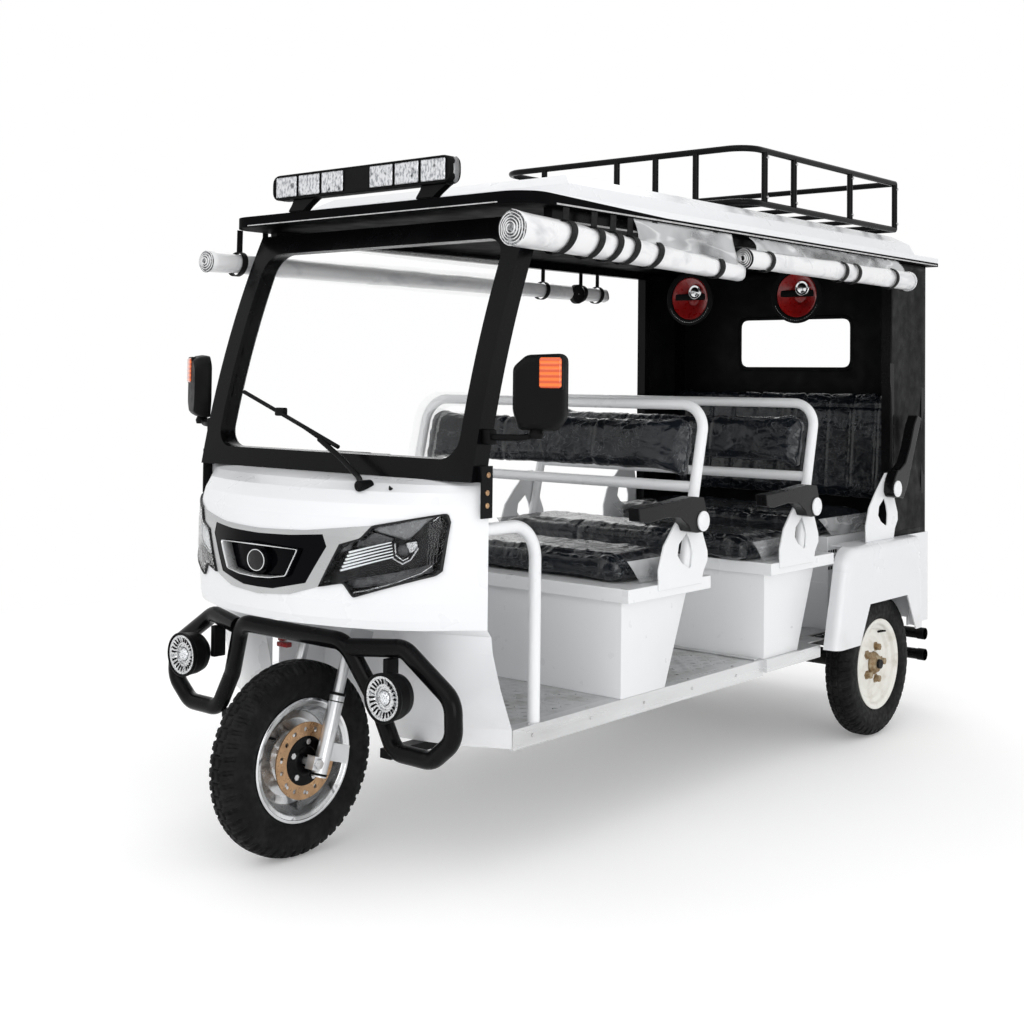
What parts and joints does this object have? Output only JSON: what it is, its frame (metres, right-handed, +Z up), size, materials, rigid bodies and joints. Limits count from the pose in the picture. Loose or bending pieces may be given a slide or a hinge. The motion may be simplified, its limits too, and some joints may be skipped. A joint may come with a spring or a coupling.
{
  "type": "auto rickshaw",
  "caption": "Open-sided electric passenger rickshaw with a curved nose cowl, bench seats, fold-up armrests, hard roof, luggage rack and rolled side curtains.",
  "frame": {"origin": "on the ground, midway between the two sides and between the front and rear ends", "axes": "+Z up, +Y towards the rear, the nose towards -Y, the vehicle's left side towards +X"},
  "size_m": [1.55, 3.2049, 2.111],
  "materials": {
    "white_paint": "gloss",
    "black_paint": "gloss",
    "black_plastic": "matte",
    "bright_steel": "brushed",
    "chrome": "mirror",
    "cream_rim": "gloss",
    "disc_steel": "brushed",
    "tyre_rubber": "matte",
    "lamp_glass": "clear",
    "red_lens": "gloss",
    "black_vinyl": "satin",
    "black_leather": "satin",
    "white_vinyl": "satin",
    "clear_vinyl": "clear",
    "bright_aluminium": "brushed"
  },
  "bodies": {
    "body": {"armrest_brackets": "white_paint", "battery_pack": "black_plastic", "bumper_guard": "black_paint", "chassis_frame": "black_paint", "curtain_rolls": "white_vinyl", "dashboard": "black_plastic", "floor_deck": "bright_aluminium", "fog_lamps": "black_plastic", "front_cowl": "white_paint", "grab_hoops": "white_paint", "grille": "black_plastic", "headlamps": "lamp_glass", "leaf_springs": "black_paint", "light_bar": "black_plastic", "mirrors": "black_plastic", "nose_trim": "chrome", "rear_axle": "black_paint", "rear_bumper": "black_paint", "rear_canvas": "black_vinyl", "rear_tub": "white_paint", "rear_window": "clear_vinyl", "roof_crown": "white_paint", "roof_posts": "black_paint", "roof_rack": "black_paint", "roof_rails": "black_paint", "roof_rim": "black_plastic", "seat_back_frames": "white_paint", "seat_back_front": "black_leather", "seat_back_middle": "black_leather", "seat_back_rear": "black_leather", "seat_box_front": "white_paint", "seat_box_middle": "white_paint", "seat_box_rear": "white_paint", "seat_cushion_front": "black_leather", "seat_cushion_middle": "black_leather", "seat_cushion_rear": "black_leather", "side_sills": "bright_aluminium", "speakers": "black_plastic", "steering_head": "black_paint", "tail_lamps": "red_lens", "wheel_well": "white_paint", "windscreen_frame": "black_paint", "windscreen_glass": "lamp_glass", "wiper": "black_plastic"},
    "steering": {"front_fork": "bright_steel", "handlebar": "bright_steel"},
    "front_wheel": {"front_tyre": "tyre_rubber", "front_rim": "chrome", "brake_disc": "disc_steel"},
    "rear_wheel_left": {"rear_tyre_left": "tyre_rubber", "rear_rim_left": "cream_rim"},
    "rear_wheel_right": {"rear_tyre_right": "tyre_rubber", "rear_rim_right": "cream_rim"},
    "front_armrest": {"armrest_front": "black_plastic"},
    "middle_armrest": {"armrest_middle": "black_plastic"},
    "rear_armrest": {"armrest_rear": "black_plastic"}
  },
  "joints": [
    {"name": "steering_turn", "type": "hinge", "parent": "body", "child": "steering", "pos_m": [0, -1.28028, 0.24696], "axis": [0, 0.3007, 0.9537], "range_deg": [-35, 35]},
    {"name": "front_wheel_spin", "type": "hinge", "parent": "steering", "child": "front_wheel", "pos_m": [0, -1.3375, 0.265], "axis": [1, 0, 0], "continuous": true},
    {"name": "rear_left_wheel_spin", "type": "hinge", "parent": "body", "child": "rear_wheel_left", "pos_m": [0.568, 0.9925, 0.265], "axis": [1, 0, 0], "continuous": true},
    {"name": "rear_right_wheel_spin", "type": "hinge", "parent": "body", "child": "rear_wheel_right", "pos_m": [-0.568, 0.9925, 0.265], "axis": [1, 0, 0], "continuous": true},
    {"name": "front_armrest_fold", "type": "hinge", "parent": "body", "child": "front_armrest", "pos_m": [0.638, -0.296, 0.889], "axis": [-1, 0, 0], "range_deg": [0, 105]},
    {"name": "middle_armrest_fold", "type": "hinge", "parent": "body", "child": "middle_armrest", "pos_m": [0.638, 0.418, 0.889], "axis": [-1, 0, 0], "range_deg": [0, 105]},
    {"name": "rear_armrest_fold", "type": "hinge", "parent": "body", "child": "rear_armrest", "pos_m": [0.626, 1.0745, 0.914], "axis": [-1, 0, 0], "range_deg": [-120, 0]}
  ]
}
